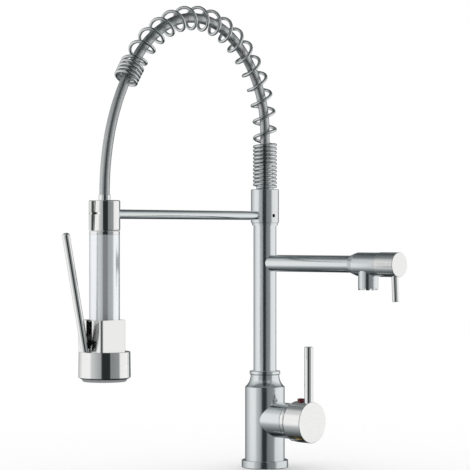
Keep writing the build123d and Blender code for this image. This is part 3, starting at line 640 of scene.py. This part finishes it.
def bend_with_head(piece):
    """Moves the piece's transform into its mesh, and leaves the object at the origin.
    """
    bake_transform(piece)


def hose():
    """One length of hose, from the union to the ferrule."""
    sizes = {"Radius": HOSE_RADIUS, "Start": HOSE_ABOVE_COLLAR, "Step": HOSE_STEP}
    tree = Builder("braided_hose", sizes, finishes["braid"], hose_route())
    inputs = {0: tree.route, 4: tree.given["Start"], 5: tree.length(tree.route)}
    cut = tree.add("GeometryNodeTrimCurve", {"mode": "LENGTH"}, inputs)[0]
    inputs = {"Curve": cut, "Length": tree.given["Step"]}
    even = tree.add("GeometryNodeResampleCurve", {"mode": "LENGTH"}, inputs)[0]
    piece = tree.piece(tree.swept(even, tree.given["Radius"], HOSE_SIDES))
    bend_with_head(piece)
    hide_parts("hose_rise", "hose_drop")


def spring():
    """Close coils at the foot and at the tip, and open coils over the arch."""
    tree = Builder("spring_coil", SPRING, finishes["wire"], hose_route())
    foot, foot_pitch = tree.given["Close turns at foot"], tree.given["Pitch at foot"]
    tip, tip_pitch = tree.given["Close turns at tip"], tree.given["Pitch at tip"]
    open_turns = tree.given["Open turns"]
    length = tree.length(tree.route) - tree.given["Start"] - tree.given["Tip to hose end"]
    close = foot * foot_pitch + tip * tip_pitch
    open_pitch = (length - close) / open_turns
    count = ((foot + open_turns + tip) * STEPS_PER_TURN).maths("ROUND") + 1
    line = tree.add("GeometryNodeMeshLine", None, {"Count": count})[0]
    turn = tree.add("GeometryNodeInputIndex")[0] / STEPS_PER_TURN
    along = tree.given["Start"] + turn.maths("MINIMUM", foot) * foot_pitch
    along = along + (turn - foot).maths("MAXIMUM", 0.0).maths("MINIMUM", open_turns) * open_pitch
    along = along + (turn - foot - open_turns).maths("MAXIMUM", 0.0) * tip_pitch
    settings = {"mode": "LENGTH", "use_all_curves": True}
    at = tree.add("GeometryNodeSampleCurve", settings, {"Curves": tree.route, "Length": along})
    side = tree.vector(1.0, 0.0, 0.0)
    up = tree.vector_maths("CROSS_PRODUCT", side, at["Tangent"])
    angle = turn * (2.0 * pi)
    radius = tree.given["Coil radius"]
    rise = tree.scaled(up, angle.maths("COSINE") * radius)
    swing = tree.scaled(side, angle.maths("SINE") * radius)
    place = tree.vector_maths("ADD", at["Position"], tree.vector_maths("ADD", rise, swing))
    coil = tree.add("GeometryNodeSetPosition", None, {"Geometry": line, "Position": place})[0]
    piece = tree.piece(tree.swept(tree.curve(coil), tree.given["Wire radius"], WIRE_SIDES))
    bend_with_head(piece)
    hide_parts("arch_spring")


# Small repeated pieces


def jet_rims():
    """A raised rubber rim round each jet of the spray face."""
    low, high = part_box("spray_face")
    sizes = {
        "Rim radius": RIM_RADIUS,
        "Lip radius": LIP_RADIUS,
        "Middle Y": (low.y + high.y) / 2,
        "Face Z": low.z,
    }
    tree = Builder("jet_rims", sizes, finishes["grey_rubber"])
    ring = tree.circle(tree.given["Rim radius"], RIM_SIDES)
    rim = tree.bar(ring, tree.circle(tree.given["Lip radius"], LIP_SIDES))
    places = tree.add("GeometryNodeJoinGeometry")
    for count, radius in zip(JET_COUNTS, JET_CIRCLES):
        inputs = {"Vertices": count, "Radius": radius}
        circle = tree.add("GeometryNodeMeshCircle", None, inputs)[0]
        tree.tree.links.new(circle.socket, places.node.inputs[0])
    inputs = {"Points": places[0], "Instance": rim}
    rims = tree.add("GeometryNodeInstanceOnPoints", None, inputs)[0]
    middle = tree.vector(0.0, tree.given["Middle Y"], tree.given["Face Z"])
    piece = tree.piece(tree.moved(rims, Translation=middle))
    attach(piece, "spray_head")


def shank_thread():
    """The thread on the shank under the worktop."""
    tree = Builder("shank_thread", THREAD, finishes["brass"])
    ridge = tree.helix(THREAD_STEPS_PER_TURN, tree.given["Ridge"], RIDGE_SIDES)
    place = tree.vector(0.0, 0.0, tree.given["Low"])
    piece = tree.piece(tree.moved(ridge, Translation=place))
    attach(piece, "base")


def valve_spring():
    """The spring behind the spray valve's plunger."""
    low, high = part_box("plunger_spring")
    sizes = {
        "Turns": VALVE_TURNS,
        "Length": high.y - low.y - 2 * VALVE_WIRE_RADIUS,
        "Radius": (high.x - low.x) / 2 - VALVE_WIRE_RADIUS,
        "Wire": VALVE_WIRE_RADIUS,
    }
    tree = Builder("valve_spring", sizes, finishes["steel"])
    coil = tree.helix(VALVE_STEPS_PER_TURN, tree.given["Wire"], VALVE_WIRE_SIDES)
    place = tree.vector(0.0, high.y - VALVE_WIRE_RADIUS, (low.z + high.z) / 2)
    lying = tree.vector(radians(90.0), 0.0, 0.0)
    piece = tree.piece(tree.moved(coil, Translation=place, Rotation=lying))
    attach(piece, "spray_head")
    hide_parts("plunger_spring")
    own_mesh(piece)


def rocker():
    """The spray lever's foot, which turns on its pin in the block's slot."""
    low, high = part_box("pivot_pin")
    pin_y, pin_z = (low.y + high.y) / 2, (low.z + high.z) / 2
    outline = bpy.data.curves.new("spray_rocker", "CURVE")
    outline.dimensions = "2D"
    outline.fill_mode = "BOTH"
    outline.extrude = ROCKER_HALF_WIDTH - ROCKER_BEVEL
    outline.bevel_depth = ROCKER_BEVEL
    outline.offset = -ROCKER_BEVEL
    turns = [radians(turn) for turn in range(0, 360, ROCKER_BORE_STEP_DEGREES)]
    bore = [(ROCKER_BORE_RADIUS * cos(turn), ROCKER_BORE_RADIUS * sin(turn)) for turn in turns]
    for points in (ROCKER, bore):
        edge = outline.splines.new("POLY")
        edge.points.add(len(points) - 1)
        for point, (out, up) in zip(edge.points, points):
            point.co = (out, up, 0.0, 1.0)
        edge.use_cyclic_u = True
    holder = new_object("outline", outline)
    mesh = mesh_of(holder)
    bpy.data.objects.remove(holder)
    for corner in mesh.vertices:
        out, up, across = corner.co
        corner.co = (across, pin_y - out, pin_z + up)
    shell = bmesh.new()
    shell.from_mesh(mesh)
    bmesh.ops.remove_doubles(shell, verts=shell.verts, dist=ROCKER_MERGE_DISTANCE)
    bmesh.ops.recalc_face_normals(shell, faces=shell.faces)
    shell.to_mesh(mesh)
    shell.free()
    mesh.name = "spray_rocker"
    mesh.materials.clear()
    mesh.materials.append(finishes["blackened"])
    piece = new_object("spray_rocker", mesh)
    smooth(mesh, ROCKER_SHARP_DEGREES)
    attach(piece, "spray_lever")
    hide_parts("lever_foot")


def camera():
    """The photograph's own view, level and turned round from the docking arm's side."""
    lens = bpy.data.cameras.new("camera")
    lens.sensor_width = SENSOR_MILLIMETRES
    lens.lens = SENSOR_MILLIMETRES * FOCAL_PIXELS / PICTURE_PIXELS
    lens.clip_start = CAMERA_SEES_FROM
    holder = new_object("camera", lens)
    turn = radians(CAMERA_AZIMUTH)
    right = Vector((cos(turn), sin(turn), 0.0))
    back = Vector((sin(turn), -cos(turn), 0.0))
    holder.location = back * CAMERA_DISTANCE - right * COLUMN_RIGHT_OF_MIDDLE
    holder.location.z = CAMERA_HEIGHT
    holder.rotation_euler = (radians(90.0), 0.0, turn)
    bpy.context.scene.camera = holder


def white_world():
    """Even white light from all round."""
    world = bpy.data.worlds.new("white_room")
    world.use_nodes = True
    sky = world.node_tree.nodes["Background"]
    sky.inputs["Color"].default_value = grey(1.0)
    sky.inputs["Strength"].default_value = 1.0
    bpy.context.scene.world = world


def floor():
    """A wide pale floor at the worktop's height. Seen from below it is clear."""
    bpy.ops.mesh.primitive_circle_add(
        vertices=FLOOR_SIDES,
        radius=FLOOR_RADIUS,
        fill_type="NGON",
        location=(0.0, 0.0, FLOOR_HEIGHT),
    )
    plane = bpy.context.object
    plane.name = "floor"
    finish = Finish("pale_floor", Roughness=0.9, Specular_IOR_Level=0.0)
    finish.shader.inputs["Base Color"].default_value = grey(1.0)
    behind = finish.add("ShaderNodeNewGeometry")["Backfacing"]
    clear = finish.add("ShaderNodeBsdfTransparent")
    both = finish.add("ShaderNodeMixShader", None, {0: behind, 2: clear[0]})
    finish.tree.links.new(finish.shader.outputs[0], both.node.inputs[1])
    surface = finish.tree.nodes["Material Output"].inputs["Surface"]
    finish.tree.links.new(both.node.outputs[0], surface)
    plane.data.materials.append(finish.material)
    plane.visible_glossy = False


# What the metal shows of the room round it. The level follows the direction round the column, in
# degrees to the right of the camera's direction, and falls off above and below.
ROOM_RADIUS = 0.75
ROOM_STEP_DEGREES = 2
ROOM_ROWS = 44
ROUND_LEVELS = (
    (-180.0, 0.14),
    (-150.0, 0.14),
    (-136.0, 0.5),
    (-104.0, 0.78),
    (-90.0, 0.97),
    (-58.0, 0.97),
    (-48.0, 0.62),
    (-24.0, 0.42),
    (-17.0, 0.03),
    (8.5, 0.03),
    (12.0, 0.26),
    (50.0, 0.32),
    (62.0, 0.94),
    (120.0, 1.0),
    (134.0, 0.85),
    (146.0, 0.15),
    (180.0, 0.14),
)
HEIGHT_LEVELS = (
    (-0.8, 0.15),
    (-0.5, 0.3),
    (-0.25, 0.5),
    (-0.1, 0.85),
    (-0.04, 1.0),
    (0.45, 1.0),
    (0.62, 0.9),
    (0.82, 0.8),
    (0.98, 0.5),
    (1.1, 0.3),
)
# High up, the room's sides are pale, its back is grey, and a strip towards the camera stays dark. The
# first list says how far PALE_ROUND takes over at each height.
PALE_ABOVE = ((-0.8, 0.0), (0.42, 0.0), (0.62, 1.0), (1.1, 1.0))
PALE_ROUND = (
    (-180.0, 0.2),
    (-130.0, 0.45),
    (-100.0, 0.8),
    (-30.0, 0.8),
    (-17.0, 0.08),
    (8.5, 0.08),
    (20.0, 0.55),
    (50.0, 0.6),
    (62.0, 0.8),
    (100.0, 0.8),
    (130.0, 0.45),
    (180.0, 0.2),
)
# Dim parts of the room are a little bluer: red falls off faster than green, and blue slower
RED_POWER = 1.05
BLUE_POWER = 0.985


def level_at(stops, place):
    """The level at a place, which changes gently from one stop to the next."""
    for (low, first), (high, second) in zip(stops, stops[1:]):
        if low <= place <= high:
            share = (place - low) / (high - low)
            return first + (second - first) * share * share * (3.0 - 2.0 * share)
    raise ValueError(place)


def room():
    """A round room that shows only in reflections."""
    turns = round(360 / ROOM_STEP_DEGREES)
    low, high = HEIGHT_LEVELS[0][0], HEIGHT_LEVELS[-1][0]
    walls = [low + (high - low) * step / ROOM_ROWS for step in range(ROOM_ROWS + 1)]
    rows = [(0.0, low)] + [(ROOM_RADIUS, height) for height in walls] + [(0.0, high)]
    corners, levels, faces = [], [], []
    for radius, height in rows:
        for number in range(turns):
            azimuth = -180.0 + number * ROOM_STEP_DEGREES
            angle = radians(CAMERA_AZIMUTH - 90.0 + azimuth)
            corners.append((radius * cos(angle), radius * sin(angle), height))
            around = level_at(ROUND_LEVELS, azimuth)
            around += (level_at(PALE_ROUND, azimuth) - around) * level_at(PALE_ABOVE, height)
            levels.append(around * level_at(HEIGHT_LEVELS, height))
    for row in range(len(rows) - 1):
        lower, upper = row * turns, (row + 1) * turns
        for number in range(turns):
            ahead = (number + 1) % turns
            faces.append((lower + number, lower + ahead, upper + ahead, upper + number))
    mesh = bpy.data.meshes.new("room")
    mesh.from_pydata(corners, [], faces)
    painted_light_level = mesh.attributes.new("level", "FLOAT", "POINT")
    painted_light_level.data.foreach_set("value", levels)
    thing = new_object("room", mesh)
    material = bpy.data.materials.new("room_light")
    material.use_nodes = True
    graph = Graph(material.node_tree)
    level = graph.add("ShaderNodeAttribute", {"attribute_name": "level"})["Fac"]
    tint = graph.vector(level.maths("POWER", RED_POWER), level, level.maths("POWER", BLUE_POWER))
    lit = graph.add("ShaderNodeEmission", None, {"Color": tint, "Strength": 1.0})
    surface = graph.tree.nodes["Material Output"].inputs["Surface"]
    graph.tree.links.new(lit.node.outputs[0], surface)
    material.cycles.emission_sampling = "NONE"
    mesh.materials.append(material)
    for ray in ("camera", "diffuse", "transmission", "volume_scatter", "shadow"):
        setattr(thing, "visible_" + ray, False)


hose()
spring()
jet_rims()
shank_thread()
valve_spring()
rocker()
camera()
white_world()
floor()
room()
bpy.context.scene.view_settings.view_transform = "Standard"
